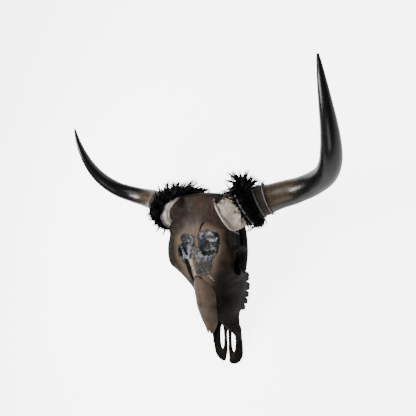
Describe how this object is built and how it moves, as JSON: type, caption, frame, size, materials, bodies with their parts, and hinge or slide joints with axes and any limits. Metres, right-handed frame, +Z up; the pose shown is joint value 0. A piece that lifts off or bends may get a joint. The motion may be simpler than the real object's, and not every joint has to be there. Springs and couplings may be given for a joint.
{
  "type": "yak skull with horns",
  "caption": "Yak skull without its lower jaw, with both horns and hide, fur and leather bands tied round their bases.",
  "frame": {"origin": "middle of the base of the whole object's bounding box, on the floor it rests on", "axes": "+Z up, the nose points to -Y, +X is the animal's own left, towards the left horn"},
  "size_m": [0.6984, 0.585, 0.3335],
  "materials": {
    "bone": "dark brown smoked and rubbed bone, with a grey, pitted crust on the lower forehead",
    "horn": "polished horn, olive brown near the base and nearly black at the tips",
    "hide": "cream hide with short hair, dark along its upper edge",
    "fur": "shaggy black fur",
    "cuff": "dry brown leather",
    "twine": "pale grey twisted twine"
  },
  "bodies": {
    "root": {"cranium": "bone", "nasal_left": "bone", "nasal_right": "bone", "maxilla_left": "bone", "maxilla_right": "bone", "premaxilla_left": "bone", "premaxilla_right": "bone", "cheekbone_left": "bone", "cheekbone_right": "bone", "horn_left": "horn", "horn_right": "horn", "hide_wrap_left": "hide", "hide_wrap_right": "hide", "fur_band_left": "fur", "fur_band_right": "fur", "leather_cuff_left": "cuff", "leather_cuff_right": "cuff", "tie_skull_left": "twine", "tie_skull_right": "twine", "tie_hide_left": "twine", "tie_hide_right": "twine", "tie_fur_left": "twine", "tie_fur_right": "twine", "tie_cuff_left": "twine", "tie_cuff_right": "twine"}
  },
  "joints": []
}
